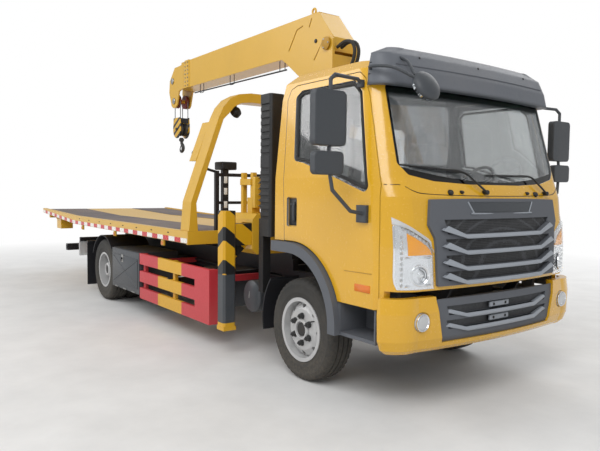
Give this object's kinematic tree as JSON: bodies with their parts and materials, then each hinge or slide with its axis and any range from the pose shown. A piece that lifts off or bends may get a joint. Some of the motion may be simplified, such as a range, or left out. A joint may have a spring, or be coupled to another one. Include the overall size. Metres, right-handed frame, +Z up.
{
  "type": "tow truck",
  "caption": "Flatbed tow truck with forward-control tilt cab, straight telescopic crane, outriggers, sliding bed with gantry and rear underlift",
  "frame": {"origin": "ground level under the middle of the whole length and width", "axes": "+X forward along the truck, +Y to its left, +Z up"},
  "size_m": [8.8254, 2.976, 3.4389],
  "materials": {
    "yellow_paint": "gloss yellow body paint",
    "grey_plastic": "moulded dark grey plastic",
    "black_steel": "satin black chassis paint",
    "dark_grey_paint": "satin dark grey paint",
    "red_paint": "red safety paint",
    "wheel_silver": "silver wheel paint",
    "tyre_rubber": "black rubber",
    "glass": "clear automotive glass",
    "lamp_lens": "clear lamp lens",
    "cast_iron": "bare cast iron and steel",
    "trim_fabric": "grey seat cloth and dash plastic",
    "rod_chrome": "hard chrome cylinder rod"
  },
  "bodies": {
    "chassis": {"frame": "black_steel", "subframe": "black_steel", "drivetrain": "cast_iron", "front_axle": "cast_iron", "rear_axle": "cast_iron", "leaf_springs": "cast_iron", "bumper": "yellow_paint", "bumper_insert": "grey_plastic", "chassis_lamps": "lamp_lens", "tanks": "dark_grey_paint", "mudguards": "black_steel", "side_guards": "red_paint", "tool_boxes": "dark_grey_paint", "air_intake": "grey_plastic", "crane_base": "yellow_paint", "control_levers": "black_steel"},
    "cab": {"cab_shell": "yellow_paint", "cab_glass": "glass", "grille": "grey_plastic", "headlamps": "lamp_lens", "visor": "grey_plastic", "cab_interior": "trim_fabric", "flares_and_steps": "grey_plastic"},
    "door_right": {"door_right": "yellow_paint", "door_glass_right": "glass", "mirror_right": "grey_plastic"},
    "door_left": {"door_left": "yellow_paint", "door_glass_left": "glass", "mirror_left": "grey_plastic"},
    "knuckle_right": {"knuckle_right": "cast_iron"},
    "knuckle_left": {"knuckle_left": "cast_iron"},
    "tool_lid_right": {"tool_lid_right": "dark_grey_paint"},
    "tool_lid_left": {"tool_lid_left": "dark_grey_paint"},
    "outrigger_beam_right": {"outrigger_beam_right": "yellow_paint"},
    "outrigger_beam_left": {"outrigger_beam_left": "yellow_paint"},
    "outrigger_leg_right": {"outrigger_leg_right": "dark_grey_paint"},
    "outrigger_leg_left": {"outrigger_leg_left": "dark_grey_paint"},
    "turret": {"turret": "yellow_paint"},
    "boom_base": {"boom_base": "yellow_paint"},
    "boom_second": {"boom_second": "yellow_paint"},
    "boom_third": {"boom_third": "yellow_paint"},
    "boom_fourth": {"boom_fourth": "yellow_paint"},
    "hook_block": {"hook_block": "yellow_paint"},
    "luff_barrel": {"luff_barrel": "yellow_paint"},
    "luff_rod": {"luff_rod": "rod_chrome"},
    "tilt_frame": {"tilt_frame": "black_steel"},
    "bed": {"bed": "yellow_paint", "gantry": "yellow_paint", "headboard": "black_steel"},
    "lift_arm": {"lift_arm": "black_steel"},
    "lift_bar": {"lift_bar": "black_steel"},
    "wheel_front_right": {"tyre_front_right": "tyre_rubber", "rim_front_right": "wheel_silver"},
    "wheel_front_left": {"tyre_front_left": "tyre_rubber", "rim_front_left": "wheel_silver"},
    "wheel_rear_right": {"tyre_rear_right": "tyre_rubber", "rim_rear_right": "wheel_silver"},
    "wheel_rear_left": {"tyre_rear_left": "tyre_rubber", "rim_rear_left": "wheel_silver"}
  },
  "joints": [
    {"name": "steer_right", "type": "hinge", "parent": "chassis", "child": "knuckle_right", "pos_m": [3.1425, -0.72, 0.42], "axis": [0, 0, 1], "range_deg": [-35, 35]},
    {"name": "wheel_front_right_spin", "type": "hinge", "parent": "knuckle_right", "child": "wheel_front_right", "pos_m": [3.1425, -0.856, 0.42], "axis": [0, 1, 0], "continuous": true},
    {"name": "wheel_rear_right_spin", "type": "hinge", "parent": "chassis", "child": "wheel_rear_right", "pos_m": [-1.3575, -0.985, 0.42], "axis": [0, 1, 0], "continuous": true},
    {"name": "door_right_hinge", "type": "hinge", "parent": "cab", "child": "door_right", "pos_m": [4.1465, -1.058, 1.4], "axis": [0, 0, 1], "range_deg": [0, 70]},
    {"name": "tool_lid_right_hinge", "type": "hinge", "parent": "chassis", "child": "tool_lid_right", "pos_m": [-0.3975, -1.145, 0.274], "axis": [1, 0, 0], "range_deg": [0, 90]},
    {"name": "outrigger_beam_right_slide", "type": "slide", "parent": "chassis", "child": "outrigger_beam_right", "axis": [0, -1, 0], "range_m": [0, 1]},
    {"name": "outrigger_leg_right_slide", "type": "slide", "parent": "outrigger_beam_right", "child": "outrigger_leg_right", "axis": [0, 0, -1], "range_m": [0, 0.255]},
    {"name": "steer_left", "type": "hinge", "parent": "chassis", "child": "knuckle_left", "pos_m": [3.1425, 0.72, 0.42], "axis": [0, 0, 1], "range_deg": [-35, 35]},
    {"name": "wheel_front_left_spin", "type": "hinge", "parent": "knuckle_left", "child": "wheel_front_left", "pos_m": [3.1425, 0.856, 0.42], "axis": [0, 1, 0], "continuous": true},
    {"name": "wheel_rear_left_spin", "type": "hinge", "parent": "chassis", "child": "wheel_rear_left", "pos_m": [-1.3575, 0.985, 0.42], "axis": [0, 1, 0], "continuous": true},
    {"name": "door_left_hinge", "type": "hinge", "parent": "cab", "child": "door_left", "pos_m": [4.1465, 1.058, 1.4], "axis": [0, 0, -1], "range_deg": [0, 70]},
    {"name": "tool_lid_left_hinge", "type": "hinge", "parent": "chassis", "child": "tool_lid_left", "pos_m": [-0.3975, 1.145, 0.274], "axis": [-1, 0, 0], "range_deg": [0, 90]},
    {"name": "outrigger_beam_left_slide", "type": "slide", "parent": "chassis", "child": "outrigger_beam_left", "axis": [0, 1, 0], "range_m": [0, 1]},
    {"name": "outrigger_leg_left_slide", "type": "slide", "parent": "outrigger_beam_left", "child": "outrigger_leg_left", "axis": [0, 0, -1], "range_m": [0, 0.255]},
    {"name": "cab_tilt", "type": "hinge", "parent": "chassis", "child": "cab", "pos_m": [4.2925, 0, 0.94], "axis": [0, 1, 0], "range_deg": [0, 45]},
    {"name": "crane_slew", "type": "hinge", "parent": "chassis", "child": "turret", "pos_m": [2.0575, 0, 1.4], "axis": [0, 0, 1], "continuous": true},
    {"name": "boom_luff", "type": "hinge", "parent": "turret", "child": "boom_base", "pos_m": [2.4215, 0, 2.973], "axis": [0, 1, 0], "range_deg": [0, 75]},
    {"name": "boom_second_slide", "type": "slide", "parent": "boom_base", "child": "boom_second", "axis": [-1, 0, 0], "range_m": [0, 2.3]},
    {"name": "boom_third_slide", "type": "slide", "parent": "boom_second", "child": "boom_third", "axis": [-1, 0, 0], "range_m": [0, 2.3]},
    {"name": "boom_fourth_slide", "type": "slide", "parent": "boom_third", "child": "boom_fourth", "axis": [-1, 0, 0], "range_m": [0, 2.3]},
    {"name": "hook_hang", "type": "hinge", "parent": "boom_fourth", "child": "hook_block", "pos_m": [-1.2045, 0, 2.819], "axis": [0, 1, 0], "range_deg": [-75, 0]},
    {"name": "luff_barrel_swing", "type": "hinge", "parent": "turret", "child": "luff_barrel", "pos_m": [1.8825, 0, 1.64], "axis": [0, -1, 0], "range_deg": [0, 10]},
    {"name": "luff_rod_slide", "type": "slide", "parent": "luff_barrel", "child": "luff_rod", "axis": [0.229, 0, 0.9734], "range_m": [0, 0.45]},
    {"name": "bed_slide", "type": "slide", "parent": "tilt_frame", "child": "bed", "axis": [-1, 0, 0], "range_m": [0, 1.85]},
    {"name": "bed_tilt", "type": "hinge", "parent": "chassis", "child": "tilt_frame", "pos_m": [-2.1075, 0, 0.83], "axis": [0, -1, 0], "range_deg": [0, 12.5]},
    {"name": "lift_arm_tilt", "type": "hinge", "parent": "chassis", "child": "lift_arm", "pos_m": [-2.7075, 0, 0.535], "axis": [0, -1, 0], "range_deg": [0, 12]},
    {"name": "lift_bar_slide", "type": "slide", "parent": "lift_arm", "child": "lift_bar", "axis": [-1, 0, 0], "range_m": [0, 0.8]}
  ],
  "couplings": [
    {"joint": "steer_left", "follows": "steer_right", "ratio": 1},
    {"joint": "boom_third_slide", "follows": "boom_second_slide", "ratio": 1},
    {"joint": "boom_fourth_slide", "follows": "boom_second_slide", "ratio": 1},
    {"joint": "hook_hang", "follows": "boom_luff", "ratio": -1},
    {"joint": "luff_barrel_swing", "follows": "boom_luff", "ratio": 0.08},
    {"joint": "luff_rod_slide", "follows": "boom_luff", "m_per_rad": 0.3266},
    {"joint": "bed_tilt", "follows": "bed_slide", "rad_per_m": 0.11698}
  ]
}
